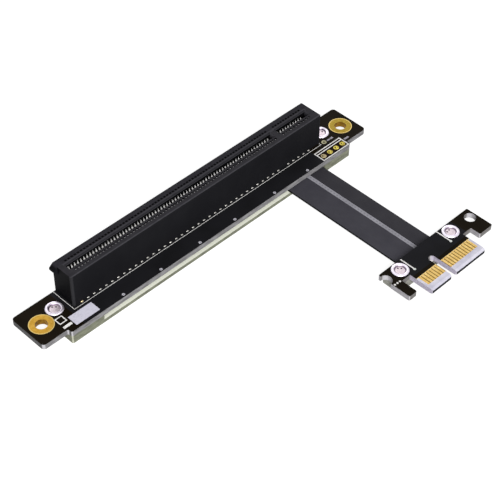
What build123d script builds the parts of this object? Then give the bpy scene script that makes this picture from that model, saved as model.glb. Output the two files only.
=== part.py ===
from build123d import *
import os

# A short ribbon riser: a long card slot on one board, joined by a flat cable to a small edge plug.
# Millimetres. X runs along the slot, +Y points away from the cable, +Z is up.
# The origin is under the middle of the card slot, on the surface that the two back covers rest on.

# How far a cutter runs past the face it opens, and how near an edge lies to its stated place
cutter_margin = 1.0
place_tolerance = 0.01

# Board and cover thicknesses, shared by both boards
board_thickness = 1.6
cover_depth = 2.6
cover_floor = 1.1

# Card slot: contact pattern first, the housing follows from it
contact_pitch = 1.0
key_spacing = 3.0
slot_long_count = 71
slot_short_count = 11
slot_end_margin = 1.25
housing_end_wall = 1.75
housing_width = 7.4
housing_height = 10.05
card_slot_width = 1.75
card_slot_depth = 8.2
card_slot_lead_in = 0.35
key_rib_width = 1.65
housing_edge_radius = 0.25
housing_nose_length = 1.05
housing_nose_height = 2.6
housing_nose_width = 2.0
housing_nose_far_margin = 0.1
housing_nose_slope = 0.9
housing_nose_face = 0.75
housing_nose_radius = 0.3
housing_nose_root = 0.5
peg_radius = 1.1
peg_length = 1.2
peg_clearance = 0.05

# Contact cavities beside the card slot, and the sprung strips in them
cavity_width = 0.7
cavity_outer_wall = 1.45
cavity_base = 1.3
cavity_bar_height = 1.0
cavity_bar_depth = 0.8
contact_width = 0.52
contact_thickness = 0.18
contact_wall_gap = 0.12
contact_reach = 0.25
contact_touch_drop = 3.05
contact_knee_drop = 1.25
contact_tip_drop = 0.4
contact_bar_gap = 0.08

# Slot board outline
board_far_margin = 0.2
tab_width = 12.5
body_step = 1.4
body_end_margin = 6.0
tab_length = 7.85
tab_corner_radius = 1.0
body_corner_radius = 0.5

# Plated mounting rings in the slot board's tabs
ring_end_distance = 4.2
ring_far_distance = 6.65
ring_radius = 3.3
ring_hole_radius = 1.65
plating_thickness = 0.06

# Tubular rivets
rivet_flange_radius = 2.42
rivet_flange_height = 0.35
rivet_edge_bevel = 0.12
rivet_cup_radius = 1.55
rivet_cup_depth = 0.7
rivet_shank_radius = 1.75
rivet_clearance = 0.08
rivet_tail_radius = 2.1
rivet_tail_height = 0.4
rivet_tail_recess = 0.55
slot_rivet_left_offset = 4.05
slot_rivet_right_offset = 3.4
slot_rivet_far_distance = 4.8

# Pads on the slot board
tail_pad_pitch = 2.0
tail_pad_width = 0.75
tail_pad_overhang = 0.36
pad_thickness = 0.05
header_pitch = 2.54
header_count = 4
header_pad_radius = 0.8
header_hole_radius = 0.48
header_end_distance = 1.6
header_edge_distance = 1.6
test_pad_radius = 0.75
test_pad_end_distance = 4.85
test_pad_edge_distance = 5.6

# Back cover of the slot board
slot_cover_end_block = 10.25
slot_cover_far_wall = 1.4
header_relief_depth = 0.6
header_relief_margin = 0.15

# Flat cable
cable_centre_x = 32.9
cable_free_length = 39.55
wide_tape_width = 7.3
web_width = 1.25
narrow_tape_width = 5.05
tape_thickness = 0.8
tape_edge_radius = 0.25
cable_board_gap = 0.4
web_sink = 0.15
cable_entry = 2.4

# Bare wire ends and their solder pads, under both boards
wide_wire_count = 9
narrow_wire_count = 6
wire_width = 0.32
wire_thickness = 0.16
wire_rise = 0.7
wire_landing = 0.9
solder_pad_width = 0.46
solder_pad_length = 1.3

# Edge plug
plug_long_count = 11
plug_short_count = 7
tongue_side_margin = 1.1
tongue_cable_offset = 1.24
tongue_length = 7.65
key_slot_width = 1.9
key_slot_depth = 8.5
tongue_corner_radius = 0.45
bevel_length = 0.7
bevel_height = 0.3
finger_width = 0.7
finger_length = 3.45
finger_front_distance = 2.1
finger_thickness = 0.05
plug_body_depth = 5.5
right_notch_width = 3.3
right_tab_width = 5.1
right_tab_length = 3.15
left_notch_width = 3.05
arm_width = 2.8
arm_length = 5.0
plug_corner_radius = 0.35
bite_radius = 1.75
bite_rear_distance = 2.5
plug_hole_radius = 1.65
plug_hole_side_distance = 2.05
plug_hole_rear_distance = 2.8
plug_rivet_left_gap = 3.1
plug_rivet_right_gap = 3.45
plug_rivet_rear_distance = 2.65
plug_cover_left_margin = 3.2
plug_cover_right_margin = 2.6
plug_cover_cable_gap = 0.3
plug_cover_near_wall = 1.2

# Levels
board_bottom = cover_depth
board_top = board_bottom + board_thickness
housing_top = board_top + housing_height
tape_top = board_bottom - cable_board_gap
tape_bottom = tape_top - tape_thickness

# Slot along X
left_group_span = (slot_long_count - 1) * contact_pitch
right_group_span = (slot_short_count - 1) * contact_pitch
contact_span = left_group_span + key_spacing + right_group_span
first_contact_x = -contact_span / 2
key_x = first_contact_x + left_group_span + key_spacing / 2
card_slot_length = contact_span + 2 * slot_end_margin
housing_half_length = card_slot_length / 2 + housing_end_wall
housing_near_y = -housing_width / 2
body_half_length = housing_half_length + body_end_margin
board_half_length = body_half_length + tab_length
board_far_y = housing_width / 2 + board_far_margin
tab_near_y = board_far_y - tab_width
body_near_y = tab_near_y - body_step
slot_cover_opening_half = body_half_length - slot_cover_end_block

# Cable along X
cable_width = wide_tape_width + web_width + narrow_tape_width
cable_left_x = cable_centre_x - cable_width / 2
wide_tape_x = cable_left_x + wide_tape_width / 2
web_x = cable_left_x + wide_tape_width + web_width / 2
narrow_tape_x = cable_left_x + cable_width - narrow_tape_width / 2
plug_rear_y = body_near_y - cable_free_length
cable_slot_end_y = body_near_y + cable_entry
cable_plug_end_y = plug_rear_y - cable_entry

# Edge plug along X and Y
short_group_span = (plug_short_count - 1) * contact_pitch
long_group_span = (plug_long_count - 1) * contact_pitch
finger_span = short_group_span + key_spacing + long_group_span
tongue_width = finger_span + 2 * tongue_side_margin
tongue_left_x = cable_centre_x + tongue_cable_offset - tongue_width / 2
tongue_right_x = tongue_left_x + tongue_width
first_finger_x = tongue_left_x + tongue_side_margin
plug_key_x = first_finger_x + short_group_span + key_spacing / 2
notch_rear_y = plug_rear_y - plug_body_depth
tongue_front_y = notch_rear_y - tongue_length
arm_right_x = tongue_left_x - left_notch_width
plug_left_x = arm_right_x - arm_width
plug_tab_left_x = tongue_right_x + right_notch_width
plug_right_x = plug_tab_left_x + right_tab_width
plug_rivet_left_x = cable_left_x - plug_rivet_left_gap
plug_rivet_right_x = cable_left_x + cable_width + plug_rivet_right_gap
plug_rivet_y = plug_rear_y - plug_rivet_rear_distance
plug_hole_x = plug_right_x - plug_hole_side_distance
plug_hole_y = plug_rear_y - plug_hole_rear_distance
plug_cover_left_x = plug_rivet_left_x - plug_cover_left_margin
plug_cover_right_x = plug_rivet_right_x + plug_cover_right_margin

# Slot board fixings
slot_rivet_left_x = -housing_half_length - slot_rivet_left_offset
slot_rivet_right_x = housing_half_length + slot_rivet_right_offset
slot_rivet_y = board_far_y - slot_rivet_far_distance
ring_x = board_half_length - ring_end_distance
ring_y = board_far_y - ring_far_distance
header_y = body_near_y + header_edge_distance
header_right_x = body_half_length - header_end_distance
test_pad_x = body_half_length - test_pad_end_distance
test_pad_y = body_near_y + test_pad_edge_distance
peg_positions = (key_x, first_contact_x)


def plate(left, right, near, far, bottom, top):
    """A rectangular block between two corners."""
    size = (right - left, far - near, top - bottom)
    return Pos((left + right) / 2, (near + far) / 2, (bottom + top) / 2) * Box(*size)


def hole(x, y, radius, bottom, top):
    """A round cutter or post that stands along Z."""
    return Pos(x, y, (bottom + top) / 2) * Cylinder(radius, top - bottom)


def turned(x, y, profile):
    """A solid of revolution about a vertical axis, from (radius, height) points."""
    half = make_face(Polyline(*[(radius, 0, height) for radius, height in profile], close=True))
    return Pos(x, y, 0) * revolve(half, Axis.Z)


def extrude_profile_along_x(points, width):
    """A (y, z) outline given a width along X, centred on X = 0."""
    outline = make_face(Polyline(*[(0, y, z) for y, z in points], close=True))
    return extrude(outline, amount=width / 2, dir=(1, 0, 0), both=True)


def slot_contact_xs():
    """Contact places along the card slot, with the key's gap left out."""
    left = [first_contact_x + i * contact_pitch for i in range(slot_long_count)]
    right_start = first_contact_x + left_group_span + key_spacing
    return left + [right_start + i * contact_pitch for i in range(slot_short_count)]


def plug_finger_xs():
    """Edge finger places along the tongue, with the key slot's gap left out."""
    left = [first_finger_x + i * contact_pitch for i in range(plug_short_count)]
    right_start = first_finger_x + short_group_span + key_spacing
    return left + [right_start + i * contact_pitch for i in range(plug_long_count)]


def wire_xs():
    """Wire places across the two taped bundles."""
    wires = []
    bundles = ((wide_tape_x, wide_tape_width, wide_wire_count),
               (narrow_tape_x, narrow_tape_width, narrow_wire_count))
    for centre, width, count in bundles:
        pitch = width / count
        wires += [centre + (i - (count - 1) / 2) * pitch for i in range(count)]
    return wires


def round_vertical_edges(solid, radius, places):
    """Round the vertical edges that stand at the given (x, y) places."""
    chosen = []
    for edge in solid.edges().filter_by(Axis.Z):
        middle = edge.center()
        if any(abs(middle.X - x) < place_tolerance and abs(middle.Y - y) < place_tolerance for x, y in places):
            chosen.append(edge)
    return fillet(chosen, radius)


def make_slot_board():
    """The long board: a wide body between two narrower tabs."""
    board = plate(-board_half_length, board_half_length, tab_near_y, board_far_y, board_bottom, board_top)
    board += plate(-body_half_length, body_half_length, body_near_y, tab_near_y, board_bottom, board_top)
    ends = (-board_half_length, board_half_length)
    board = round_vertical_edges(board, tab_corner_radius,
                                 [(x, y) for x in ends for y in (tab_near_y, board_far_y)])
    steps = (-body_half_length, body_half_length)
    board = round_vertical_edges(board, body_corner_radius,
                                 [(x, y) for x in steps for y in (body_near_y, tab_near_y)])
    cutters = [hole(side * ring_x, ring_y, ring_hole_radius + plating_thickness, 0, housing_top)
               for side in (-1, 1)]
    cutters += [hole(x, slot_rivet_y, rivet_shank_radius + rivet_clearance, 0, housing_top)
                for x in (slot_rivet_left_x, slot_rivet_right_x)]
    cutters += [hole(x, header_y, header_hole_radius + plating_thickness, 0, housing_top)
                for x in header_xs()]
    cutters += [hole(x, 0, peg_radius + peg_clearance, 0, housing_top) for x in peg_positions]
    return board - cutters


def contact_cavity_profile(side):
    """The (y, z) outline of one contact cavity, open into the card slot and up through the top face."""
    inner = card_slot_width / 2 - card_slot_lead_in / 2
    outer = housing_width / 2 - cavity_outer_wall
    bar = card_slot_width / 2 + cavity_bar_depth
    bottom = board_top + cavity_base
    bar_bottom = housing_top - cavity_bar_height
    above = housing_top + cutter_margin
    outline = [(inner, bottom), (outer, bottom), (outer, above), (bar, above), (bar, bar_bottom),
               (inner, bar_bottom)]
    return [(side * y, z) for y, z in outline]


def make_housing_nose():
    """The wedge on the housing's left end: it slopes out from the top edge and back in under a short face."""
    end = -housing_half_length
    root = end + housing_nose_root
    tip = end - housing_nose_length
    tip_top = housing_top - housing_nose_slope
    foot = housing_top - housing_nose_height
    far = housing_width / 2 - housing_nose_far_margin
    outline = [(root, housing_top), (end, housing_top), (tip, tip_top), (tip, tip_top - housing_nose_face),
               (end, foot), (root, foot)]
    face = make_face(Polyline(*[(x, far, z) for x, z in outline], close=True))
    nose = extrude(face, amount=housing_nose_width, dir=(0, -1, 0))
    return fillet(nose.edges().filter_by(Axis.Y).sort_by(Axis.X)[:2], housing_nose_radius)


def make_slot_housing():
    """The moulded card connector: one long body, a keyed card slot and a cavity for each contact."""
    body = plate(-housing_half_length, housing_half_length, housing_near_y, -housing_near_y,
                 board_top, housing_top)
    body = fillet(body.edges().filter_by(Axis.Z), housing_edge_radius)
    body += make_housing_nose()
    slot_floor = housing_top - card_slot_depth
    above = housing_top + cutter_margin
    half_slot = card_slot_width / 2
    lead = card_slot_lead_in
    slot_outline = [(-half_slot, slot_floor), (half_slot, slot_floor), (half_slot, housing_top - lead),
                    (half_slot + lead, housing_top), (half_slot + lead, above),
                    (-half_slot - lead, above), (-half_slot - lead, housing_top),
                    (-half_slot, housing_top - lead)]
    left = -card_slot_length / 2
    right = card_slot_length / 2
    for start, end in ((left, key_x - key_rib_width / 2), (key_x + key_rib_width / 2, right)):
        body -= Pos((start + end) / 2, 0, 0) * extrude_profile_along_x(slot_outline, end - start)
    cutters = []
    for side in (-1, 1):
        cavity = extrude_profile_along_x(contact_cavity_profile(side), cavity_width)
        cutters += [Pos(x, 0, 0) * cavity for x in slot_contact_xs()]
    body -= cutters
    for x in peg_positions:
        body += hole(x, 0, peg_radius, board_top - peg_length, board_top)
    return body


def make_slot_contacts(side):
    """One row of sprung strips: each leans into the card slot and turns back behind the cavity's bar."""
    half = contact_thickness / 2
    foot_y = housing_width / 2 - cavity_outer_wall - contact_wall_gap - half
    touch_y = card_slot_width / 2 - contact_reach
    tip_y = card_slot_width / 2 + cavity_bar_depth + contact_bar_gap + half
    middle = [(foot_y, board_top + cavity_base), (touch_y, housing_top - contact_touch_drop),
              (tip_y, housing_top - contact_knee_drop), (tip_y, housing_top - contact_tip_drop)]
    outline = [(y - half, z) for y, z in middle] + [(y + half, z) for y, z in reversed(middle)]
    strip = extrude_profile_along_x([(side * y, z) for y, z in outline], contact_width)
    return Compound(children=[Pos(x, 0, 0) * strip for x in slot_contact_xs()])


def make_slot_tail_pads():
    """Soldered tail pads along the housing's near foot, each half a pitch to the left of every second contact."""
    near = housing_near_y - tail_pad_overhang
    step = round(tail_pad_pitch / contact_pitch)
    left = slot_contact_xs()[:slot_long_count:step]
    right = slot_contact_xs()[slot_long_count + 1::step]
    pads = []
    for contact_x in left + right:
        x = contact_x - contact_pitch / 2
        pads.append(plate(x - tail_pad_width / 2, x + tail_pad_width / 2, near, housing_near_y,
                          board_top, board_top + pad_thickness))
    return Compound(children=pads)


def make_plated_ring(x, y, pad_radius, hole_radius):
    """A plated hole: a thin barrel with a flat ring on each face of the board."""
    barrel = hole_radius + plating_thickness
    top = board_top
    bottom = board_bottom
    profile = [(hole_radius, bottom - plating_thickness), (pad_radius, bottom - plating_thickness),
               (pad_radius, bottom), (barrel, bottom), (barrel, top), (pad_radius, top),
               (pad_radius, top + plating_thickness), (hole_radius, top + plating_thickness)]
    return turned(x, y, profile)


def make_rivet(x, y):
    """A tubular rivet: round flange and cup above the board, shank, and a spread tail in the cover."""
    flange_top = board_top + rivet_flange_height
    cup_floor = flange_top - rivet_cup_depth
    tail_bottom = rivet_tail_recess - rivet_tail_height
    soft = rivet_edge_bevel
    profile = [(0, tail_bottom), (rivet_tail_radius, tail_bottom), (rivet_tail_radius, rivet_tail_recess),
               (rivet_shank_radius, rivet_tail_recess), (rivet_shank_radius, board_top),
               (rivet_flange_radius, board_top), (rivet_flange_radius, flange_top - soft),
               (rivet_flange_radius - soft, flange_top), (rivet_cup_radius + soft, flange_top),
               (rivet_cup_radius, flange_top - soft), (rivet_cup_radius, cup_floor), (0, cup_floor)]
    return turned(x, y, profile)


def cut_rivet_seat(cover, x, y):
    """The rivet's hole through a cover and the recess that hides its tail."""
    cover -= hole(x, y, rivet_shank_radius + rivet_clearance, -cutter_margin, board_top)
    return cover - hole(x, y, rivet_tail_radius + rivet_clearance, -cutter_margin, rivet_tail_recess)


def make_slot_back_cover():
    """The tray under the wide body: solid end blocks, a far wall, and a near side open for the cable."""
    cover = plate(-body_half_length, body_half_length, body_near_y, board_far_y, 0, cover_depth)
    cover = round_vertical_edges(cover, body_corner_radius,
                                 [(x, body_near_y) for x in (-body_half_length, body_half_length)])
    cover -= plate(-slot_cover_opening_half, slot_cover_opening_half, body_near_y - cutter_margin,
                   board_far_y - slot_cover_far_wall, cover_floor, board_top)
    relief = header_pad_radius + header_relief_margin
    cover -= plate(min(header_xs()) - relief, max(header_xs()) + relief,
                   header_y - relief, header_y + relief, cover_depth - header_relief_depth, board_top)
    for x in (slot_rivet_left_x, slot_rivet_right_x):
        cover = cut_rivet_seat(cover, x, slot_rivet_y)
    return cover


def header_xs():
    """Places of the four header pads."""
    return [header_right_x - i * header_pitch for i in range(header_count)]


def make_header_pads():
    """Four plated holes in a row."""
    pads = [make_plated_ring(x, header_y, header_pad_radius, header_hole_radius) for x in header_xs()]
    return Compound(children=pads)


def make_test_pad():
    """One bare round pad."""
    return hole(test_pad_x, test_pad_y, test_pad_radius, board_top, board_top + pad_thickness)


def make_tape(x, width):
    """One taped bundle of the flat cable, straight between the two covers."""
    tape = plate(x - width / 2, x + width / 2, cable_plug_end_y, cable_slot_end_y, tape_bottom, tape_top)
    return fillet(tape.edges().filter_by(Axis.Y), tape_edge_radius)


def make_cable_web():
    """The thinner strip that joins the two bundles."""
    half = web_width / 2
    return plate(web_x - half, web_x + half, cable_plug_end_y, cable_slot_end_y,
                 tape_bottom + web_sink, tape_top - web_sink)


def wire_end_profile(start_y, direction):
    """The (y, z) outline of a bare wire end that rises from the tape to its pad."""
    middle = (tape_top + tape_bottom) / 2
    low_top = middle + wire_thickness / 2
    high_top = board_bottom - pad_thickness
    rise_y = start_y + direction * wire_rise
    end_y = rise_y + direction * wire_landing
    foot_y = start_y + direction * wire_thickness
    return [(start_y, low_top - wire_thickness), (foot_y, low_top - wire_thickness),
            (rise_y, high_top - wire_thickness), (end_y, high_top - wire_thickness), (end_y, high_top),
            (rise_y - direction * wire_thickness, high_top), (start_y, low_top)]


def make_wire_ends(start_y, direction):
    """The row of bare wire ends at one end of the cable."""
    wire = extrude_profile_along_x(wire_end_profile(start_y, direction), wire_width)
    return Compound(children=[Pos(x, 0, 0) * wire for x in wire_xs()])


def make_solder_pads(start_y, direction):
    """The row of solder pads under a board, one for each wire."""
    first = start_y + direction * (wire_rise - wire_thickness)
    last = first + direction * solder_pad_length
    near, far = min(first, last), max(first, last)
    pads = [plate(x - solder_pad_width / 2, x + solder_pad_width / 2, near, far,
                  board_bottom - pad_thickness, board_bottom) for x in wire_xs()]
    return Compound(children=pads)


def make_plug_board():
    """The small board: keyed tongue, hook arm with a half-round bite, and a tab with a plain hole."""
    outline = [(plug_left_x, plug_rear_y), (plug_right_x, plug_rear_y),
               (plug_right_x, notch_rear_y - right_tab_length),
               (plug_tab_left_x, notch_rear_y - right_tab_length), (plug_tab_left_x, notch_rear_y),
               (tongue_right_x, notch_rear_y), (tongue_right_x, tongue_front_y),
               (tongue_left_x, tongue_front_y), (tongue_left_x, notch_rear_y),
               (arm_right_x, notch_rear_y), (arm_right_x, notch_rear_y - arm_length),
               (plug_left_x, notch_rear_y - arm_length)]
    face = make_face(Polyline(*[(x, y, board_bottom) for x, y in outline], close=True))
    board = extrude(face, amount=board_thickness, dir=(0, 0, 1))
    corners = [outline[0], outline[1], outline[2], outline[3], outline[10], outline[11]]
    board = round_vertical_edges(board, plug_corner_radius, corners)
    slot_end_y = tongue_front_y + key_slot_depth - key_slot_width / 2
    half_key = key_slot_width / 2
    board -= plate(plug_key_x - half_key, plug_key_x + half_key, tongue_front_y - cutter_margin,
                   slot_end_y, 0, housing_top)
    tongue_corners = (tongue_left_x, plug_key_x - half_key, plug_key_x + half_key, tongue_right_x)
    board = round_vertical_edges(board, tongue_corner_radius, [(x, tongue_front_y) for x in tongue_corners])
    board -= tongue_bevel(board_top, -1)
    board -= tongue_bevel(board_bottom, 1)
    rounds = [(plug_key_x, slot_end_y, half_key),
              (plug_left_x, plug_rear_y - bite_rear_distance, bite_radius),
              (plug_hole_x, plug_hole_y, plug_hole_radius),
              (plug_rivet_left_x, plug_rivet_y, rivet_shank_radius + rivet_clearance),
              (plug_rivet_right_x, plug_rivet_y, rivet_shank_radius + rivet_clearance)]
    return board - [hole(x, y, radius, 0, housing_top) for x, y, radius in rounds]


def tongue_bevel(face_z, inward):
    """A wedge that bevels the tongue's front edge on one face."""
    slope = bevel_height / bevel_length
    outside_y = tongue_front_y - cutter_margin
    wedge = extrude_profile_along_x([(tongue_front_y + bevel_length, face_z), (outside_y, face_z),
                                     (outside_y, face_z + inward * slope * (bevel_length + cutter_margin))],
                                    tongue_width + cutter_margin)
    return Pos((tongue_left_x + tongue_right_x) / 2, 0, 0) * wedge


def make_plug_fingers(bottom):
    """One face's row of edge fingers, from the given height up."""
    near = tongue_front_y + finger_front_distance
    fingers = [plate(x - finger_width / 2, x + finger_width / 2, near, near + finger_length,
                     bottom, bottom + finger_thickness) for x in plug_finger_xs()]
    return Compound(children=fingers)


def make_plug_back_cover():
    """The small tray under the plug board, open to the rear for the cable."""
    cover = plate(plug_cover_left_x, plug_cover_right_x, notch_rear_y, plug_rear_y, 0, cover_depth)
    opening_left = cable_left_x - plug_cover_cable_gap
    opening_right = cable_left_x + cable_width + plug_cover_cable_gap
    cover -= plate(opening_left, opening_right, notch_rear_y + plug_cover_near_wall,
                   plug_rear_y + cutter_margin, cover_floor, board_top)
    for x in (plug_rivet_left_x, plug_rivet_right_x):
        cover = cut_rivet_seat(cover, x, plug_rivet_y)
    return cover


parts = {
    "slot_board": make_slot_board(),
    "slot_housing": make_slot_housing(),
    "slot_contacts_near": make_slot_contacts(-1),
    "slot_contacts_far": make_slot_contacts(1),
    "slot_tail_pads": make_slot_tail_pads(),
    "slot_back_cover": make_slot_back_cover(),
    "slot_rivet_left": make_rivet(slot_rivet_left_x, slot_rivet_y),
    "slot_rivet_right": make_rivet(slot_rivet_right_x, slot_rivet_y),
    "mount_ring_left": make_plated_ring(-ring_x, ring_y, ring_radius, ring_hole_radius),
    "mount_ring_right": make_plated_ring(ring_x, ring_y, ring_radius, ring_hole_radius),
    "header_pads": make_header_pads(),
    "test_pad": make_test_pad(),
    "cable_wide_tape": make_tape(wide_tape_x, wide_tape_width),
    "cable_narrow_tape": make_tape(narrow_tape_x, narrow_tape_width),
    "cable_web": make_cable_web(),
    "slot_end_wires": make_wire_ends(cable_slot_end_y, 1),
    "slot_end_solder_pads": make_solder_pads(cable_slot_end_y, 1),
    "plug_board": make_plug_board(),
    "plug_fingers_top": make_plug_fingers(board_top),
    "plug_fingers_bottom": make_plug_fingers(board_bottom - finger_thickness),
    "plug_rivet_left": make_rivet(plug_rivet_left_x, plug_rivet_y),
    "plug_rivet_right": make_rivet(plug_rivet_right_x, plug_rivet_y),
    "plug_back_cover": make_plug_back_cover(),
    "plug_end_wires": make_wire_ends(cable_plug_end_y, -1),
    "plug_end_solder_pads": make_solder_pads(cable_plug_end_y, -1),
}

os.makedirs("parts", exist_ok=True)
for name, shape in parts.items():
    export_step(shape, f"parts/{name}.step")
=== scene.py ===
import math

import bpy
from mathutils import Matrix, Vector


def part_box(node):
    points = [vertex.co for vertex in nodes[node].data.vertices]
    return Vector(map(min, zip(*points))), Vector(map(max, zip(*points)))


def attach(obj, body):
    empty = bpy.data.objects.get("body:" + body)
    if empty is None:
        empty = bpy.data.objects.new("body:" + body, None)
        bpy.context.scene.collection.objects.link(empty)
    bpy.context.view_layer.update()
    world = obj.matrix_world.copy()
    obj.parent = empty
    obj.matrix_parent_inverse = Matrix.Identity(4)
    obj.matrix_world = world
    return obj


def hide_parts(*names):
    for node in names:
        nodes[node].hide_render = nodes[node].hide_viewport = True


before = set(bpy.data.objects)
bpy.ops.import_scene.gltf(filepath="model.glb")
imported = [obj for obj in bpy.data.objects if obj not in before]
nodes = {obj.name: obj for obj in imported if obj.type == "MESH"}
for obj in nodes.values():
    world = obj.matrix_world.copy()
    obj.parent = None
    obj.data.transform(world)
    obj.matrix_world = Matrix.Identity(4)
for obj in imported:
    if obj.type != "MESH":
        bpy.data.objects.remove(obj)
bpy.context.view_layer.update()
mm = 0.001

# Camera
# A long lens looks down across the slot from its left near side, as in a catalogue picture.
# It aims beside the middle of the slot, at the height of the boards' upper faces.
camera_azimuth = math.radians(-45.307)
camera_elevation = math.radians(44.892)
camera_roll = math.radians(0.651)
camera_distance = 384.624 * mm
camera_aside = 14.783 * mm
camera_below = -9.824 * mm
focal_length_px = 1449.116
picture_width_px = 500
board_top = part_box("slot_board")[1].z

back = Vector((math.sin(camera_azimuth) * math.cos(camera_elevation),
               -math.cos(camera_azimuth) * math.cos(camera_elevation), math.sin(camera_elevation)))
level_right = Vector((math.cos(camera_azimuth), math.sin(camera_azimuth), 0))
level_up = back.cross(level_right)
right = math.cos(camera_roll) * level_right + math.sin(camera_roll) * level_up
up = math.cos(camera_roll) * level_up - math.sin(camera_roll) * level_right
place = right * camera_aside + up * camera_below + back * camera_distance + Vector((0, 0, board_top))

lens = bpy.data.cameras.new("camera")
lens.sensor_width = 36
lens.lens = focal_length_px / picture_width_px * lens.sensor_width
lens.clip_start = 10 * mm
lens.clip_end = 20
camera = bpy.data.objects.new("camera", lens)
camera.matrix_world = Matrix.Translation(place) @ Matrix((right, up, back)).transposed().to_4x4()
bpy.context.scene.collection.objects.link(camera)
bpy.context.scene.camera = camera
bpy.context.scene.view_settings.view_transform = "Standard"


# Floor
# A sheet of matt white card that the part rests on. It reads as plain white to the eye and in
# mirrors, and still takes the part's soft shadow.
def linear(hex_colour):
    """An sRGB hex colour as linear red, green, blue and alpha."""
    parts = [int(hex_colour[i:i + 2], 16) / 255 for i in (1, 3, 5)]
    return [c / 12.92 if c <= 0.04045 else ((c + 0.055) / 1.055) ** 2.4 for c in parts] + [1.0]


def add_node(tree, kind, settings, links):
    """Adds a node. Settings name its properties or inputs, and links give an input an output."""
    made = tree.nodes.new(kind)
    for name, value in settings.items():
        if isinstance(name, int) or name in made.inputs:
            made.inputs[name].default_value = value
        else:
            setattr(made, name, value)
    for name, output in links.items():
        tree.links.new(output, made.inputs[name])
    return made


def seen_directly(tree):
    """1 for rays from the camera, from a mirror and through glass, 0 for the light on the object."""
    path = add_node(tree, "ShaderNodeLightPath", {}, {})
    either = add_node(tree, "ShaderNodeMath", {"operation": "MAXIMUM"},
                      {0: path.outputs["Is Camera Ray"], 1: path.outputs["Is Glossy Ray"]})
    any_of = add_node(tree, "ShaderNodeMath", {"operation": "MAXIMUM"},
                      {0: either.outputs[0], 1: path.outputs["Is Transmission Ray"]})
    return any_of.outputs[0]


floor_half_width = 2.5
floor_drop = 0.02 * mm
card_lift_level = 0.86
corners = [(-floor_half_width, -floor_half_width), (floor_half_width, -floor_half_width),
           (floor_half_width, floor_half_width), (-floor_half_width, floor_half_width)]
floor_mesh = bpy.data.meshes.new("floor")
floor_mesh.from_pydata([(x, y, -floor_drop) for x, y in corners], [], [(0, 1, 2, 3)])
floor = bpy.data.objects.new("floor", floor_mesh)
bpy.context.scene.collection.objects.link(floor)

white_card = bpy.data.materials.new("white_card")
white_card.use_nodes = True
tree = white_card.node_tree
tree.nodes.clear()
card_lift = add_node(tree, "ShaderNodeMath", {"operation": "MULTIPLY", 1: card_lift_level},
                     {0: seen_directly(tree)})
card_glow = add_node(tree, "ShaderNodeEmission", {"Color": linear("#ffffff")},
                     {"Strength": card_lift.outputs[0]})
card_face = add_node(tree, "ShaderNodeBsdfDiffuse", {"Color": linear("#9c9c9c")}, {})
card_sum = add_node(tree, "ShaderNodeAddShader", {}, {0: card_glow.outputs[0], 1: card_face.outputs[0]})
add_node(tree, "ShaderNodeOutputMaterial", {}, {"Surface": card_sum.outputs[0]})
floor_mesh.materials.append(white_card)


# Light
# A large soft box over the camera's shoulder, a weak one behind the part and an even surround.
# A face that looks up gets about the full level, and the near and left faces a little less.
surround = bpy.data.worlds.new("surround")
bpy.context.scene.world = surround
surround.use_nodes = True
tree = surround.node_tree
tree.nodes.clear()
surround_level = 0.13
level = add_node(tree, "ShaderNodeMath", {"operation": "MAXIMUM", 1: surround_level},
                 {0: seen_directly(tree)})
sky = add_node(tree, "ShaderNodeBackground", {"Color": linear("#ffffff")}, {"Strength": level.outputs[0]})
add_node(tree, "ShaderNodeOutputWorld", {}, {"Surface": sky.outputs[0]})

part_middle = Vector((10 * mm, -20 * mm, 5 * mm))


def soft_box(name, direction, distance, width, brightness):
    """A square lamp that looks at the part. At brightness 1 alone, a white face square to it is white."""
    lamp = bpy.data.lights.new(name, "AREA")
    lamp.size = width
    lamp.energy = brightness * math.pi ** 2 * distance ** 2
    holder = bpy.data.objects.new(name, lamp)
    aim = Vector(direction).normalized()
    holder.location = part_middle + aim * distance
    holder.rotation_mode = "QUATERNION"
    holder.rotation_quaternion = aim.to_track_quat("Z", "Y")
    bpy.context.scene.collection.objects.link(holder)


soft_box("soft_box_shoulder", (-0.52, -0.64, 0.66), 1.0, 0.5, 1.20)
soft_box("soft_box_behind", (0.55, 0.75, 0.35), 1.1, 0.7, 0.22)


# Slot board
# Glass-fibre laminate, 1.6 mm thick, with satin black solder mask over both faces. The mask is
# neutral over copper and brown where there is none, and the routed edge shows bare grey plies.
# The edge is painted darker where it faces left and right, as painted shade, and pale on the
# corners that face the near left, as a painted highlight.
def start_material(name, roughness, metallic=0.0, specular=0.5):
    """A principled material and its node tree."""
    material = bpy.data.materials.new(name)
    material.use_nodes = True
    tree = material.node_tree
    shader = tree.nodes["Principled BSDF"]
    shader.inputs["Roughness"].default_value = roughness
    shader.inputs["Metallic"].default_value = metallic
    shader.inputs["Specular IOR Level"].default_value = specular
    return material, tree, shader


def mix(tree, factor, first, second):
    """Blends two colours. Each is an sRGB hex or the output of a node."""
    blend = add_node(tree, "ShaderNodeMix", {"data_type": "RGBA"}, {0: factor})
    for socket, colour in ((6, first), (7, second)):
        if isinstance(colour, str):
            blend.inputs[socket].default_value = linear(colour)
        else:
            tree.links.new(colour, blend.inputs[socket])
    return blend.outputs[2]


def clouds(tree, place, size, detail=2.0, low=0.36, high=0.64):
    """Soft patches from 0 to 1, about as wide as the given size."""
    noise = add_node(tree, "ShaderNodeTexNoise", {"Scale": 1 / size, "Detail": detail}, {"Vector": place})
    return ramp(tree, noise.outputs["Fac"], low, high)


def ramp(tree, value, start, end):
    """0 below the start, 1 above the end, and even in between."""
    spread = add_node(tree, "ShaderNodeMapRange", {"From Min": start, "From Max": end}, {"Value": value})
    return spread.outputs[0]


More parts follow.
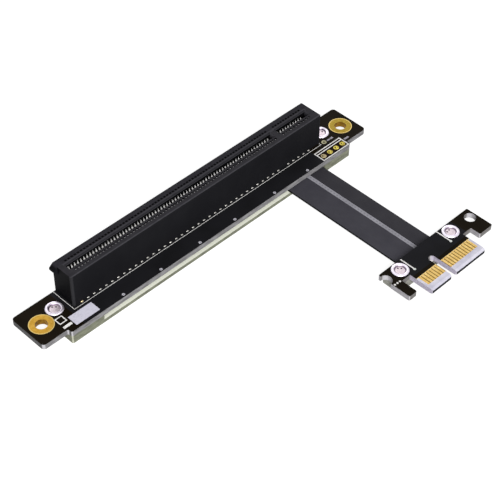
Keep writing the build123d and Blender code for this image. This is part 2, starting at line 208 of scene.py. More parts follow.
def facing(tree, direction):
    """1 on faces that look along a direction, either way, and 0 on those that look across it."""
    geometry = add_node(tree, "ShaderNodeNewGeometry", {}, {})
    along = add_node(tree, "ShaderNodeVectorMath", {"operation": "DOT_PRODUCT", 1: direction},
                     {0: geometry.outputs["Normal"]})
    either = add_node(tree, "ShaderNodeMath", {"operation": "ABSOLUTE"}, {0: along.outputs["Value"]})
    return ramp(tree, either.outputs[0], 0.5, 0.85)


def near_left_corners(tree):
    """1 where a rounded upright corner turns from the near side to the left end."""
    geometry = add_node(tree, "ShaderNodeNewGeometry", {}, {})
    along = add_node(tree, "ShaderNodeVectorMath", {"operation": "DOT_PRODUCT", 1: (-0.71, -0.71, 0)},
                     {0: geometry.outputs["Normal"]})
    return ramp(tree, along.outputs["Value"], 0.86, 0.97)


def within(tree, place, left, near, right_side, far):
    """1 inside an upright prism over a rectangle in mm, and 0 outside it."""
    centre = ((left + right_side) / 2 * mm, (near + far) / 2 * mm, 0)
    apart = add_node(tree, "ShaderNodeVectorMath", {"operation": "SUBTRACT", 1: centre}, {0: place})
    size = add_node(tree, "ShaderNodeVectorMath", {"operation": "ABSOLUTE"}, {0: apart.outputs[0]})
    parts = add_node(tree, "ShaderNodeSeparateXYZ", {}, {0: size.outputs[0]})
    in_x = add_node(tree, "ShaderNodeMath", {"operation": "LESS_THAN", 1: (right_side - left) / 2 * mm},
                    {0: parts.outputs["X"]})
    in_y = add_node(tree, "ShaderNodeMath", {"operation": "LESS_THAN", 1: (far - near) / 2 * mm},
                    {0: parts.outputs["Y"]})
    both = add_node(tree, "ShaderNodeMath", {"operation": "MULTIPLY"},
                    {0: in_x.outputs[0], 1: in_y.outputs[0]})
    return both.outputs[0]


def cut_laminate(tree, place, dark, light, ply):
    """The colour of a cut laminate edge: plies one above the other, with bundles of fibre."""
    fibre_length = 2.2 * mm
    stretch = add_node(tree, "ShaderNodeMapping", {"Scale": (1 / fibre_length, 1 / fibre_length, 1 / ply)},
                       {"Vector": place})
    return mix(tree, clouds(tree, stretch.outputs[0], 1.0), dark, light)


def board_material(name, copper, side_tones, end_tones):
    """Black solder mask on the flat faces and bare laminate on the routed edges."""
    mask_grain = 0.35 * mm
    mask_cloud = 6 * mm
    board_ply = 0.4 * mm
    material, tree, shader = start_material(name, 0.42, specular=0.02)
    place = add_node(tree, "ShaderNodeTexCoord", {}, {}).outputs["Object"]
    flat = facing(tree, (0, 0, 1))
    patches = clouds(tree, place, mask_cloud, 1.0)
    brown = mix(tree, patches, "#130f08", "#1a150e")
    black = mix(tree, patches, "#1a1a1c", "#1e1e21")
    mask = mix(tree, within(tree, place, *copper), brown, black)
    mask = mix(tree, within(tree, place, *header_box), mask, "#1c100b")
    side = cut_laminate(tree, place, *side_tones, board_ply)
    end = cut_laminate(tree, place, *end_tones, board_ply)
    # Edges that face left or right take their own end tones as painted light, and corners that face the near
    # left a pale painted highlight.
    edge_with_corner_highlight = mix(tree, near_left_corners(tree), mix(tree, facing(tree, (1, 0, 0)), side, end), "#c8c6ca")
    colour = mix(tree, flat, edge_with_corner_highlight, mask)
    gloss = add_node(tree, "ShaderNodeMapRange", {"To Min": 0.85, "To Max": 0.40}, {"Value": flat})
    peel = add_node(tree, "ShaderNodeTexNoise", {"Scale": 1 / mask_grain, "Detail": 2.0},
                    {"Vector": place})
    bump = add_node(tree, "ShaderNodeBump", {"Strength": 0.25, "Distance": 0.01 * mm},
                    {"Height": peel.outputs["Fac"]})
    tree.links.new(colour, shader.inputs["Base Color"])
    tree.links.new(gloss.outputs[0], shader.inputs["Roughness"])
    tree.links.new(bump.outputs[0], shader.inputs["Normal"])
    return material, tree, shader, place, flat, colour


def dress(names, material):
    """Gives CAD nodes one material."""
    for name in names:
        nodes[name].data.materials.clear()
        nodes[name].data.materials.append(material)


def break_edges(names, width):
    """Rounds the sharp edges of CAD nodes a little, as a mould or a router leaves them."""
    sharp = math.radians(50)
    for name in names:
        edge = nodes[name].modifiers.new("broken_edges", "BEVEL")
        edge.width = width
        edge.segments = 2
        edge.limit_method = "ANGLE"
        edge.angle_limit = sharp


header_box = (39.9, -9.87, 50.2, -5.95)
long_board_copper = (-46.3, -10.5, header_box[0], 5.0)
long_board = board_material("solder_mask_long_board", long_board_copper,
                            ("#7f7d7f", "#a1a0a2"), ("#606060", "#767576"))[0]
dress(["slot_board"], long_board)
break_edges(["slot_board"], 0.06 * mm)


# White print on the slot board
# Epoxy ink, screened on before the parts are soldered: the connector's outline, a bar, a plain
# label patch, a plain frame, short dashes, rings along the edge and a double box round the header.
def rectangle(left, near, right_side, far):
    """Corners of an upright rectangle in mm."""
    return [(left, near), (right_side, near), (right_side, far), (left, far)]


def box_lines(left, near, right_side, far, width):
    """The four lines of a drawn rectangle, butted at the corners."""
    return [rectangle(left, near, right_side, near + width),
            rectangle(left, far - width, right_side, far),
            rectangle(left, near + width, left + width, far - width),
            rectangle(right_side - width, near + width, right_side, far - width)]


def ring_segments(x, y, outer, inner, sides=16):
    """A flat ring in mm, as a row of four-cornered pieces. With no inner radius it is a disc."""
    segments = []
    for i in range(sides):
        start = 2 * math.pi * i / sides
        end = 2 * math.pi * (i + 1) / sides
        segments.append([(x + radius * math.cos(turn), y + radius * math.sin(turn))
                         for radius, turn in ((inner, start), (outer, start), (outer, end), (inner, end))])
    return segments


def add_piece(name, vertices, faces, material, slot, smooth=False):
    """A new piece of the part, on its only body."""
    mesh = bpy.data.meshes.new(name)
    mesh.from_pydata(vertices, [], faces)
    mesh.materials.append(material)
    if smooth:
        mesh.shade_smooth()
    piece = bpy.data.objects.new(name, mesh)
    bpy.context.scene.collection.objects.link(piece)
    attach(piece, "root")
    return piece


def print_on(name, outlines, thickness, material):
    """Thin flat shapes of ink or tin on the boards' upper faces, all in one piece."""
    vertices, faces = [], []
    for outline in outlines:
        first, count = len(vertices), len(outline)
        vertices += [(x * mm, y * mm, z) for z in (board_top, board_top + thickness) for x, y in outline]
        faces.append([first + i for i in reversed(range(count))])
        faces.append([first + count + i for i in range(count)])
        faces += [[first + i, first + (i + 1) % count, first + count + (i + 1) % count, first + count + i]
                  for i in range(count)]
    return add_piece(name, vertices, faces, material, "solder")


def ink_material(name, dark, light):
    """Screened ink: matt, with thin places where the mask shows through."""
    material, tree, shader = start_material(name, 0.7, specular=0.2)
    place = add_node(tree, "ShaderNodeTexCoord", {}, {}).outputs["Object"]
    tone = mix(tree, clouds(tree, place, 0.5 * mm, 3.0, 0.3, 0.5), dark, light)
    tree.links.new(tone, shader.inputs["Base Color"])
    return material


ink_thickness = 0.02 * mm
outline_width = 0.12
outline_left = -45.15
outline_right = 44.35
outline_near = -4.61
outline_far = 3.8
housing_near = -3.7
outline_clearance = 0.02
bar = (-51.05, -7.9, -48.4, -7.1)
plain_frame = (-51.0, -6.1, -48.7, -3.8)
plain_frame_line = 0.28
label_patch = (-48.05, -8.97, -40.55, -5.48)
edge_rings = ((-33.05, -9.2), (-20.4, -9.27), (-6.57, -9.2), (6.0, -9.27), (20.91, -9.35), (33.85, -9.3))
edge_ring_radius = 0.42
edge_ring_hole = 0.14
header_line = 0.3
header_inner_line = -7.1
dashes = ((46.75, -4.8, 47.75, -4.3), (47.95, -4.9, 49.0, -4.25), (50.65, -7.8, 52.4, -7.2))

print_white = ink_material("screened_white_ink", "#dedcd8", "#fcfbf8")
board_print = [rectangle(outline_left, outline_near, outline_right, outline_near + outline_width),
               rectangle(outline_left, outline_near + outline_width, outline_left + outline_width,
                         outline_far),
               rectangle(outline_right - outline_width, outline_near + outline_width, outline_right,
                         housing_near - outline_clearance),
               rectangle(*bar)]
board_print += box_lines(*header_box, header_line)
board_print.append(rectangle(header_box[0] + header_line, header_inner_line, header_box[2] - header_line,
                             header_inner_line + header_line))
board_print += box_lines(*plain_frame, plain_frame_line)
print_on("slot_board_print", board_print, ink_thickness, print_white)

label_ink = ink_material("label_patch_ink", "#cfcddc", "#dedceb")
print_on("slot_board_label_patch", [rectangle(*label_patch)], ink_thickness, label_ink)
grey_ink = ink_material("thin_grey_ink", "#8a8791", "#a6a3ad")
print_on("slot_board_dashes", [rectangle(*dash) for dash in dashes], ink_thickness, grey_ink)
tinned_rings = []
for x, y in edge_rings:
    tinned_rings += ring_segments(x, y, edge_ring_radius, edge_ring_hole)
ring_tin = ink_material("tinned_edge_rings", "#b3b1ba", "#cfcdd6")
print_on("slot_board_edge_rings", tinned_rings, ink_thickness, ring_tin)


# Card slot housing
# Moulded in black glass-filled polymer, with a mould's fine spark-eroded grain and random patches
# on its upper face. The upper face is painted paler than the upright faces as painted light, with
# painted highlights along its near rim, the slot's far rim, the lead-in and the near upright corners,
# and painted shade on the end faces, down in the slot and its pockets and over the far part of the
# upper face.
moulding_grain = 0.12 * mm
moulding_flow = 9 * mm
wear_patch = 1.6 * mm
housing_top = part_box("slot_housing")[1].z
past_left_end, past_right_end = -46.0, 45.0
edge_margin = 0.1
# Painted highlights on the rounded near upright corners at the left and right ends.
corner_highlight_bands = ((-44.6, -43.95, "#333336"), (44.05, 44.6, "#262629"))
corner_highlight_depth = 0.7
slot_left, slot_right = -43.0, 43.2
slot_half_width = 0.86
lead_in_half_width = 0.9
cavities_half_width = 2.6
near_rim_width = 0.42
far_rim_near, far_rim_far = 0.8, 1.5
far_face_near, far_face_far = 1.7, 5.0
slot_shade_below = 2.2 * mm
lead_in_foot, lead_in_edge = 0.60 * mm, 0.42 * mm
pocket_shade_below = 0.4 * mm
pocket_lit_above = 0.1 * mm
housing_polymer, tree, shader = start_material("glass_filled_black_polymer", 0.6, specular=0.03)
place = add_node(tree, "ShaderNodeTexCoord", {}, {}).outputs["Object"]
height = add_node(tree, "ShaderNodeSeparateXYZ", {}, {0: place}).outputs["Z"]
flow = clouds(tree, place, moulding_flow)
wear = clouds(tree, place, wear_patch, 3.0)

# The end faces are painted near black, darker than the near and far faces, as painted shade.
outer = mix(tree, facing(tree, (1, 0, 0)), mix(tree, flow, "#1a1a1d", "#1e1e21"), "#0a0a0c")
for left, right_side, tone in corner_highlight_bands:
    band = within(tree, place, left, housing_near - edge_margin, right_side,
                  housing_near + corner_highlight_depth)
    outer = mix(tree, band, outer, tone)

# In the slot, faces are painted darker further down as painted shade and the lead-in pale as a painted
# highlight.
towards_mouth = ramp(tree, height, housing_top - slot_shade_below, housing_top - pocket_lit_above)
slot_shade_and_highlight = mix(tree, towards_mouth, "#060607", "#121214")
at_lead_in = ramp(tree, height, housing_top - lead_in_foot, housing_top - lead_in_edge)
at_slot = within(tree, place, slot_left, -lead_in_half_width, slot_right, lead_in_half_width)
lead_in_highlight = add_node(tree, "ShaderNodeMath", {"operation": "MULTIPLY"}, {0: at_lead_in, 1: at_slot})
slot_shade_and_highlight = mix(tree, lead_in_highlight.outputs[0], slot_shade_and_highlight, "#4b4a4f")
between_walls = within(tree, place, slot_left, -slot_half_width, slot_right, slot_half_width)
across_slot = add_node(tree, "ShaderNodeMath", {"operation": "MULTIPLY"},
                       {0: facing(tree, (1, 0, 0)), 1: between_walls})
slot_shade_and_highlight = mix(tree, across_slot.outputs[0], slot_shade_and_highlight, mix(tree, towards_mouth, "#060607", "#48474c"))
at_cavities = within(tree, place, slot_left, -cavities_half_width, slot_right, cavities_half_width)
upright = mix(tree, at_cavities, outer, slot_shade_and_highlight)

# On the upper face the near rim and the slot's far rim are painted pale as painted highlights, and the part
# beyond the far rim darker as painted shade.
near_rim = within(tree, place, past_left_end, housing_near - edge_margin, past_right_end,
                  housing_near + near_rim_width)
far_face = within(tree, place, past_left_end, far_face_near, past_right_end, far_face_far)
far_rim = within(tree, place, slot_left, far_rim_near, slot_right, far_rim_far)
# Random patches on the upper face, in tones painted paler than the upright faces' as painted light.
top_painted_light = mix(tree, wear, "#2e2d31", "#353438")
top_painted_light = mix(tree, near_rim, top_painted_light, mix(tree, wear, "#414045", "#4a494e"))
top_painted_light = mix(tree, far_face, top_painted_light, mix(tree, wear, "#28272c", "#302f34"))
top_painted_light = mix(tree, far_rim, top_painted_light, mix(tree, wear, "#3d3c41", "#434247"))
# The pockets are painted near black below their mouths as painted shade.
out_of_pocket = ramp(tree, height, housing_top - pocket_shade_below, housing_top - pocket_lit_above)
level_face = mix(tree, out_of_pocket, "#0b0b0d", top_painted_light)
tree.links.new(mix(tree, facing(tree, (0, 0, 1)), upright, level_face), shader.inputs["Base Color"])
grain = add_node(tree, "ShaderNodeTexNoise", {"Scale": 1 / moulding_grain, "Detail": 1.0},
                 {"Vector": place})
bump = add_node(tree, "ShaderNodeBump", {"Strength": 0.3, "Distance": 0.008 * mm},
                {"Height": grain.outputs["Fac"]})
tree.links.new(bump.outputs[0], shader.inputs["Normal"])
dress(["slot_housing"], housing_polymer)
break_edges(["slot_housing"], 0.08 * mm)


# Slot contacts
# Two rows of spring strips, stamped from copper alloy and pressed into the housing. Each one
# bulges into the slot, dips under a bar and ends behind it. Its stamped sides are painted near black
# as painted shade, and the near row a darker grey than the far row as painted shade.
strip_width = 0.52
strip_thickness = 0.18
# Points along a strip, in mm: how far from the slot's middle, and how far below the housing's top.
strip_path = [(2.04, 8.7), (1.8, 6.2), (1.2, 3.9), (0.92, 3.35), (0.79, 3.05), (0.76, 2.85), (0.86, 2.62),
              (1.02, 2.44), (1.17, 2.34), (1.4, 2.19), (1.63, 2.04), (1.8, 1.9), (1.84, 1.7), (1.845, 1.4),
              (1.845, 0.4)]
strip_pitch = 1.0
long_group, short_group = 71, 11
pitches_to_short_group = 73
first_strip_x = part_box("slot_contacts_far")[0].x / mm + strip_width / 2
short_group_x = first_strip_x + pitches_to_short_group * strip_pitch
strip_xs = [first_strip_x + i * strip_pitch for i in range(long_group)]
strip_xs += [short_group_x + i * strip_pitch for i in range(short_group)]


def spring_strips(side):
    """Vertices and faces of one row of strips. The side is 1 for the far row and -1 for the near one."""
    outline = []
    for i, (y, drop) in enumerate(strip_path):
        before, after = strip_path[max(i - 1, 0)], strip_path[min(i + 1, len(strip_path) - 1)]
        run = Vector((after[0] - before[0], before[1] - after[1])).normalized()
        for half in (-strip_thickness / 2, strip_thickness / 2):
            outline.append((side * (y + run.y * half) * mm, housing_top - (drop + run.x * half) * mm))
    vertices, faces = [], []
    for x in strip_xs:
        first = len(vertices)
        for y, z in outline:
            vertices += [((x - strip_width / 2) * mm, y, z), ((x + strip_width / 2) * mm, y, z)]
        for i in range(len(strip_path) - 1):
            a, b = first + 4 * i, first + 4 * (i + 1)
            faces += [(a, a + 1, b + 1, b), (a + 2, b + 2, b + 3, a + 3),
                      (a, b, b + 2, a + 2), (a + 1, a + 3, b + 3, b + 1)]
        last = first + 4 * (len(strip_path) - 1)
        faces += [(first, first + 2, first + 3, first + 1), (last, last + 1, last + 3, last + 2)]
    return vertices, faces


# The near row takes darker grey tones than the far row, as painted shade.
contact_rows = (("slot_contacts_far", 1, "#fbf9f5", "#ffffff", 0.35),
                ("slot_contacts_near", -1, "#b3b1b4", "#d8d6d9", 0.0))
for name, side, dark, light, metallic in contact_rows:
    contact_metal, tree, shader = start_material("plating_on_" + name, 0.25, metallic=metallic)
    place = add_node(tree, "ShaderNodeTexCoord", {}, {}).outputs["Object"]
    plated = mix(tree, clouds(tree, place, 0.15 * mm), dark, light)
    # Faces that look left or right, the stamped sides, are painted near black as painted shade.
    tree.links.new(mix(tree, facing(tree, (1, 0, 0)), plated, "#2a282b"), shader.inputs["Base Color"])
    strips = add_piece(name + "_sprung", *spring_strips(side), contact_metal, "contact_strip")
    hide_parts(name)


# Solder on pads
# Small fillets of reflowed tin on the pads along the housing's foot, one for every second contact.
# The pads under them are a dark grey tin, and the first fillet is left to the gold below.
bead_bluntness = 0.6


def solder_bead(x, foot_y, half_length, reach, rise):
    """Vertices and faces of one fillet that climbs the housing's foot, in mm."""
    steps, turns = 8, 5
    vertices, faces = [], []
    for i in range(steps + 1):
        along = -math.cos(math.pi * i / steps)
        swell = math.sin(math.pi * i / steps) ** bead_bluntness if 0 < i < steps else 0.0
        for j in range(turns + 1):
            angle = math.pi / 2 * j / turns
            vertices.append(((x + half_length * along) * mm,
                             (foot_y - reach * math.cos(angle) * swell) * mm,
                             board_top + rise * math.sin(angle) * swell * mm))
        vertices.append(((x + half_length * along) * mm, foot_y * mm, board_top))
    row = turns + 2
    for i in range(steps):
        for j in range(row):
            a, b = i * row + j, i * row + (j + 1) % row
            faces.append((a, b, b + row, a + row))
    return vertices, faces


tin_solder, tree, shader = start_material("reflowed_tin", 0.4, metallic=0.8)
place = add_node(tree, "ShaderNodeTexCoord", {}, {}).outputs["Object"]
cloud = clouds(tree, place, 0.9 * mm)
bump = add_node(tree, "ShaderNodeBump", {"Strength": 0.4, "Distance": 0.02 * mm}, {"Height": cloud})
tree.links.new(mix(tree, cloud, "#bebbb4", "#e9e6df"), shader.inputs["Base Color"])
tree.links.new(bump.outputs[0], shader.inputs["Normal"])
dress(["slot_end_solder_pads", "plug_end_solder_pads"], tin_solder)
dark_tin, tree, shader = start_material("worn_tin_on_tail_pads", 0.6, metallic=0.4)
place = add_node(tree, "ShaderNodeTexCoord", {}, {}).outputs["Object"]
tree.links.new(mix(tree, clouds(tree, place, 0.3 * mm), "#5d5c5d", "#8b8a89"), shader.inputs["Base Color"])
dress(["slot_tail_pads"], dark_tin)

pad_half_length = 0.375
first_pad_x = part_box("slot_tail_pads")[0].x / mm + pad_half_length
tail_pad_pitch = 2.0
left_pad_count = 36
right_pad_count = 5
pitches_to_right_group = 37
right_group_start = first_pad_x + pitches_to_right_group * tail_pad_pitch
bead_size = (0.34, 0.22, 0.18)
pad_xs = [first_pad_x + i * tail_pad_pitch for i in range(left_pad_count)]
pad_xs += [right_group_start + i * tail_pad_pitch for i in range(right_pad_count)]
beads, bead_faces = [], []
for x in pad_xs[1:]:
    more, sides = solder_bead(x, housing_near, *bead_size)
    bead_faces += [tuple(index + len(beads) for index in side) for side in sides]
    beads += more
add_piece("slot_tail_solder", beads, bead_faces, tin_solder, "solder", smooth=True)


# Gold plating
# Thin gold over nickel on the mounting rings, the first tail pad and the header pads, deep yellow
# with the faint clouding of a plating bath. The rings' bores are painted darker as painted shade,
# their outer rims paler as a painted highlight, and the right ring darker than the left as painted
# shade. The header's holes are closed by flat fills, each with a dark pinhole painted on as painted
# shade.
def gold_material(name, dark, light, roughness, cloud_size=0.8 * mm):
    """Gold plate, clouded between two tones."""
    material, tree, shader = start_material(name, roughness, metallic=1.0)
    place = add_node(tree, "ShaderNodeTexCoord", {}, {}).outputs["Object"]
    tone = mix(tree, clouds(tree, place, cloud_size, 3.0), dark, light)
    tree.links.new(tone, shader.inputs["Base Color"])
    return material, tree, shader, place, tone


def distance_from(tree, place, x, y):
    """How far a point is from an upright line through (x, y), all in metres."""
    apart = add_node(tree, "ShaderNodeVectorMath", {"operation": "SUBTRACT", 1: (x, y, 0)}, {0: place})
    flattened = add_node(tree, "ShaderNodeVectorMath", {"operation": "MULTIPLY", 1: (1, 1, 0)},
                         {0: apart.outputs[0]})
    length = add_node(tree, "ShaderNodeVectorMath", {"operation": "LENGTH"}, {0: flattened.outputs[0]})
    return length.outputs["Value"]


# The right ring takes darker tones than the left, as painted shade.
ring_tones = (("mount_ring_left", "#b18830", "#c29940"), ("mount_ring_right", "#866f23", "#97802d"))
ring_rim_start, ring_rim_full = 3.0 * mm, 3.15 * mm
for name, dark, light in ring_tones:
    low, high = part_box(name)
    ring_gold, tree, shader, place, tone = gold_material("gold_on_" + name, dark, light, 0.42)
    radius = distance_from(tree, place, (low.x + high.x) / 2, (low.y + high.y) / 2)
    # The bore is painted a darker gold as painted shade, and the outer rim a paler gold as a painted
    # highlight.
    bore_shade = mix(tree, clouds(tree, place, 0.7 * mm), "#7a5512", "#a0782a")
    bore_and_face = mix(tree, facing(tree, (0, 0, 1)), bore_shade, tone)
    rim = ramp(tree, radius, ring_rim_start, ring_rim_full)
    tree.links.new(mix(tree, rim, bore_and_face, "#cdb572"), shader.inputs["Base Color"])
    dress([name], ring_gold)

first_bead = solder_bead(first_pad_x, housing_near, 0.46, 0.30, 0.26)
first_pad_gold = gold_material("gold_on_first_tail_pad", "#e6c890", "#fbefd2", 0.4)[0]
add_piece("slot_first_tail_gold", *first_bead, first_pad_gold, "gold_plate", smooth=True)

header_pitch = 2.54
header_pad_count = 4
header_fill_radius = 0.475
header_fill_thickness = 0.04 * mm
pinhole_core_radius = 0.16
pinhole_radius = 0.3
pinhole_aside = (-0.19, 0.18)
header_gold, tree, shader, place, tone = gold_material("gold_on_header_pads", "#8c7a34", "#d2c55a",
                                                       0.40, 0.45 * mm)
low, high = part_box("header_pads")
header_y = (low.y + high.y) / 2 / mm
header_pad_radius = (high.y - low.y) / 2 / mm
header_xs = [low.x / mm + header_pad_radius + i * header_pitch for i in range(header_pad_count)]
at_first = within(tree, place, header_xs[0] - header_pitch / 2, header_y - header_pitch / 2,
                  header_xs[0] + header_pitch / 2, header_y + header_pitch / 2)
tone = mix(tree, at_first, tone, mix(tree, clouds(tree, place, 0.4 * mm), "#8a7d5e", "#b4a67e"))
# Each pad's pinhole is a dark spot painted on as painted shade; the fill over it is a whole disc.
for x in header_xs:
    away = distance_from(tree, place, (x + pinhole_aside[0]) * mm, (header_y + pinhole_aside[1]) * mm)
    tone = mix(tree, ramp(tree, away, pinhole_core_radius * mm, pinhole_radius * mm), "#1c1608", tone)
tree.links.new(tone, shader.inputs["Base Color"])
dress(["header_pads"], header_gold)
fills = []
for x in header_xs:
    fills += ring_segments(x, header_y, header_fill_radius, 0.0)
print_on("slot_header_fills", fills, header_fill_thickness, header_gold)

low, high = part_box("test_pad")
test_hole_core, test_hole_edge = 0.22 * mm, 0.42 * mm
test_pad_metal, tree, shader, place, tone = gold_material("dulled_test_pad", "#77735b", "#a8a486",
                                                          0.45, 0.4 * mm)
radius = distance_from(tree, place, (low.x + high.x) / 2, (low.y + high.y) / 2)
# The pad's centre is painted dark as the shade of a hole.
hole_shade = ramp(tree, radius, test_hole_core, test_hole_edge)
tree.links.new(mix(tree, hole_shade, "#343122", tone), shader.inputs["Base Color"])
dress(["test_pad"], test_pad_metal)


# Rivets
# Tubular rivets, nickel-plated, that hold each board to its cover. A rounded flange, a cup with a
# shallow groove round its floor, and a rolled tail below. The groove is painted dark as painted
# shade, and two dark spots are painted on the cup's floor as the shade of dimples from the setting
# tool.
def lathe(profile, sides):
    """Vertices and faces of a closed turned form, from (radius, height) points in mm, lowest end first."""
    vertices, faces = [], []
    turns = [2 * math.pi * i / sides for i in range(sides)]
    for radius, height in profile:
        vertices += [(radius * mm * math.cos(turn), radius * mm * math.sin(turn), height * mm)
                     for turn in turns]
    for ring in range(len(profile) - 1):
        for i in range(sides):
            a, b = ring * sides + i, ring * sides + (i + 1) % sides
            faces.append((a, b, b + sides, a + sides))
    faces.append(tuple(reversed(range(sides))))
    faces.append(tuple(range(len(vertices) - sides, len(vertices))))
    return vertices, faces


rolled_tail = [(0.2, -2.6), (0.85, -2.6), (0.95, -3.3), (1.15, -3.85), (1.45, -4.03), (1.8, -4.04),
               (2.05, -3.92), (2.1, -3.78), (2.0, -3.66), (1.75, -3.65)]
flange = [(1.75, 0.0), (2.38, 0.0), (2.42, 0.06), (2.40, 0.16), (2.28, 0.27), (2.05, 0.34), (1.85, 0.35)]
cup = [(1.70, 0.31), (1.60, 0.2), (1.52, 0.04), (1.44, -0.04), (1.34, -0.08), (1.2, -0.08), (0.9, -0.06),
       (0.6, -0.04), (0.3, -0.03), (0.05, -0.03)]
rivet_sides = 48
groove_start, groove_full = 1.24 * mm, 1.36 * mm
flange_start, flange_full = 1.56 * mm, 1.66 * mm
dimples = ((0.02, 0.86), (0.72, 0.29))
dimple_core_radius = 0.19
dimple_radius = 0.31
rivet_turns = {"slot_rivet_left": 0, "slot_rivet_right": -20,
               "plug_rivet_left": -8, "plug_rivet_right": 45}
rivet_nickel, tree, shader = start_material("nickel_plated_rivet", 0.45, metallic=1.0)
place = add_node(tree, "ShaderNodeTexCoord", {}, {}).outputs["Object"]
radius = distance_from(tree, place, 0, 0)
plating = mix(tree, clouds(tree, place, 0.6 * mm, 3.0), "#dbd2e0", "#efe9f4")
cup_floor = mix(tree, clouds(tree, place, 0.3 * mm, 3.0), "#c6b8c1", "#e4d8dd")
# The groove round the cup's floor and the two dimples are painted dark as painted shade.
groove_shade = mix(tree, ramp(tree, radius, groove_start, groove_full), cup_floor, "#7d6f7e")
tone = mix(tree, ramp(tree, radius, flange_start, flange_full), groove_shade, plating)
for x, y in dimples:
    away = distance_from(tree, place, x * mm, y * mm)
    dimple_shade = ramp(tree, away, dimple_core_radius * mm, dimple_radius * mm)
    tone = mix(tree, dimple_shade, "#38303a", tone)
tree.links.new(tone, shader.inputs["Base Color"])
for name, turn in rivet_turns.items():
    low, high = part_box(name)
    turned = lathe(rolled_tail + flange + cup, rivet_sides)
    piece = add_piece(name + "_turned", *turned, rivet_nickel, "rivet_metal", smooth=True)
    piece.location = ((low.x + high.x) / 2, (low.y + high.y) / 2, board_top)
    piece.rotation_euler.z = math.radians(turn)
    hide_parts(name)


# Back covers
# Pale green glass-fibre laminate, milled to a shallow tray, with a faint weave on its faces and
# plies on its milled edges. Its upward faces are painted a pale cream and its other faces a duller
# olive as painted light, with its corners that face the near left pale as a painted highlight. The
# plug's cover is a greyer sheet.
wave_period = math.pi / 10


def cover_material(name, face_dark, face_light, edge_dark, edge_light):
    """Bare laminate: a faint weave on its faces and plies on its milled edges.

    The bands of a wave texture of scale 1 lie one wave_period apart.
    """
    weave_pitch = 0.8 * mm
    cover_ply = 0.5 * mm
    material, tree, shader = start_material(name, 0.6, specular=0.15)
    place = add_node(tree, "ShaderNodeTexCoord", {}, {}).outputs["Object"]
    weave = add_node(tree, "ShaderNodeTexWave",
                     {"bands_direction": "X", "Scale": wave_period / weave_pitch, "Distortion": 0.6},
                     {"Vector": place})
    face = mix(tree, weave.outputs["Fac"], face_dark, face_light)
    edge = cut_laminate(tree, place, edge_dark, edge_light, cover_ply)
    # Corners that face the near left are painted pale as a painted highlight.
    edge = mix(tree, near_left_corners(tree), edge, "#c3c4b0")
    # Upward faces take the pale face tones and all others the darker edge tones, as painted light.
    tree.links.new(mix(tree, facing(tree, (0, 0, 1)), edge, face), shader.inputs["Base Color"])
    return material


green_laminate = cover_material("pale_green_laminate", "#f7f9e4", "#fdfff2", "#757767", "#90937f")
grey_laminate = cover_material("pale_grey_laminate", "#e4e2db", "#efede7", "#96968e", "#b2b2aa")
dress(["slot_back_cover"], green_laminate)
dress(["plug_back_cover"], grey_laminate)
break_edges(["slot_back_cover", "plug_back_cover"], 0.08 * mm)


# Flat cable
# Two bundles of fine twin wires under black polyester tape, joined by a bare grey web. The tape
# is matt with a faint ripple from the wires below, and the web has a row of weld dots. The cut sides
# of tape and web are painted near black as painted shade.
def tape_material(name, dark, light, wire_pitch):
    """Tape over a row of wires, its cut sides painted near black as painted shade."""
    material, tree, shader = start_material(name, 0.65, specular=0.08)
    place = add_node(tree, "ShaderNodeTexCoord", {}, {}).outputs["Object"]
    ripple = add_node(tree, "ShaderNodeTexWave", {"bands_direction": "X", "Scale": wave_period / wire_pitch},
                      {"Vector": place})
    creases = mix(tree, clouds(tree, place, 5 * mm, 3.0), dark, light)
    bump = add_node(tree, "ShaderNodeBump", {"Strength": 0.3, "Distance": 0.03 * mm},
                    {"Height": ripple.outputs["Fac"]})
    # Faces that don't look up are painted near black as painted shade.
    tree.links.new(mix(tree, facing(tree, (0, 0, 1)), "#0d0d0f", creases), shader.inputs["Base Color"])
    tree.links.new(bump.outputs[0], shader.inputs["Normal"])
    return material


dress(["cable_wide_tape"], tape_material("black_tape_wide", "#3d3c43", "#434249", 0.81 * mm))
dress(["cable_narrow_tape"], tape_material("black_tape_narrow", "#323136", "#37363b", 0.84 * mm))
grey_web = tape_material("grey_web", "#93929a", "#a3a2aa", 0.4 * mm)
tree = grey_web.node_tree
shader = tree.nodes["Principled BSDF"]
place = add_node(tree, "ShaderNodeTexCoord", {}, {}).outputs["Object"]
low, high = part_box("cable_web")
middle = (low.x + high.x) / 2 / mm
weld_pitch = 1.1 * mm
weld_half_width = 0.2
welds = add_node(tree, "ShaderNodeTexWave", {"bands_direction": "Y", "Scale": wave_period / weld_pitch},
                 {"Vector": place})
along_middle = within(tree, place, middle - weld_half_width, low.y / mm, middle + weld_half_width,
                      high.y / mm)
in_row = add_node(tree, "ShaderNodeMath", {"operation": "MULTIPLY"},
                  {0: welds.outputs["Fac"], 1: along_middle})
bare = shader.inputs["Base Color"].links[0].from_socket
tree.links.new(mix(tree, in_row.outputs[0], bare, "#807f86"), shader.inputs["Base Color"])
dress(["cable_web"], grey_web)


# Bare wire ends
# The cable's fine copper wires, stripped of their tape and soldered to the pads under both boards.
# Their metal is made like the gold plate's, in the pinker tones of copper.
bare_copper = gold_material("bare_copper_wire", "#b97a55", "#d9a583", 0.4)[0]
dress(["slot_end_wires", "plug_end_wires"], bare_copper)


# Plug board
# The same laminate and mask as the long board. The mask stops before the fingers' ends, where a
# pale line shows, and the tongue beyond it is bare laminate, lilac grey. The tongue's front face and
# the edge of its bevel are painted dark as painted shade. The board's ends and the tongue's sides are
# painted lighter than its near and far edges as painted light, and the laminate between the fingers
# dark gold as painted light.
mask_end = -57.15
fingers_front = -60.6
finger_margin = 1.4
pale_line_width = 0.22
front_shade_depth = 0.12
tongue_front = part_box("plug_board")[0].y / mm
tongue_root = -54.0
past_front = 1.0
tongue_left, tongue_right = 23.0, 45.3
plug_copper = (22.0, -56.0, 46.2, -49.0)
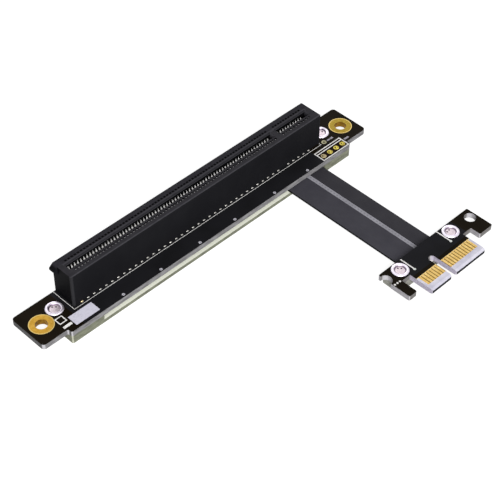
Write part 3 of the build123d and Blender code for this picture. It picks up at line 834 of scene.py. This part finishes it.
# The ends take lighter tones than the near and far edges, as painted light.
plug_mask, tree, shader, place, flat, masked = board_material("solder_mask_plug_board", plug_copper,
                                                              ("#807d7c", "#918e8c"),
                                                              ("#a2a0a4", "#b9b7bc"))
bare_face = mix(tree, clouds(tree, place, 3 * mm), "#cccada", "#e2e0ec")
at_fingers = within(tree, place, tongue_left + finger_margin, fingers_front, tongue_right - finger_margin,
                    mask_end)
at_line = within(tree, place, tongue_left, mask_end - pale_line_width, tongue_right, mask_end)
# The bare laminate between the fingers is painted dark gold as painted light.
bare_face = mix(tree, at_fingers, bare_face, "#86703a")
bare_face = mix(tree, at_line, bare_face, "#f6e9bd")
# The tongue's sides are painted a pale lilac, lighter than its front, as painted light.
lilac = mix(tree, clouds(tree, place, 0.5 * mm), "#b0aabb", "#cac4d4")
at_tongue = within(tree, place, tongue_left, tongue_front - past_front, tongue_right, tongue_root)
tongue_sides = add_node(tree, "ShaderNodeMath", {"operation": "MULTIPLY"},
                        {0: facing(tree, (1, 0, 0)), 1: at_tongue})
masked = mix(tree, tongue_sides.outputs[0], masked, lilac)
# The tongue's front face and the edge of its bevel are painted dark as painted shade.
at_front = within(tree, place, tongue_left, tongue_front - past_front, tongue_right,
                  tongue_front + front_shade_depth)
masked = mix(tree, at_front, masked, "#35363a")
beyond_mask = within(tree, place, tongue_left, tongue_front - past_front, tongue_right, mask_end)
bare_flat = add_node(tree, "ShaderNodeMath", {"operation": "MULTIPLY"}, {0: beyond_mask, 1: flat})
tree.links.new(mix(tree, bare_flat.outputs[0], masked, bare_face), shader.inputs["Base Color"])
dress(["plug_board"], plug_mask)
dress(["plug_fingers_top", "plug_fingers_bottom"],
      gold_material("gold_on_edge_fingers", "#d0ab60", "#e3c47f", 0.34)[0])
break_edges(["plug_board"], 0.06 * mm)


# White print on the plug board
# Epoxy ink, screened on like the long board's: a line on each side of the cable's pads, each with
# a round tinned end, and three dots on the hook arm.
line_width = 0.36
line_end_radius = 0.38
line_end_thickness = 0.03 * mm
plug_lines = ((25.98, -49.75, -54.54), (40.5, -49.6, -54.5))
arm_dots = ((18.15, -54.7), (19.07, -54.74), (20.02, -54.79))
arm_dot_radius = 0.3
plug_print = [rectangle(x - line_width / 2, front, x + line_width / 2, rear)
              for x, rear, front in plug_lines]
for x, y in arm_dots:
    plug_print += ring_segments(x, y, arm_dot_radius, 0.0)
print_on("plug_board_print", plug_print, ink_thickness, ink_material("plug_ink", "#cfcdca", "#f4f2ef"))

line_ends = []
for x, rear, front in plug_lines:
    line_ends += ring_segments(x, front, line_end_radius, 0.0)
end_tin = ink_material("tinned_line_ends", "#bfc3bf", "#dfe3df")
print_on("plug_print_line_ends", line_ends, line_end_thickness, end_tin)
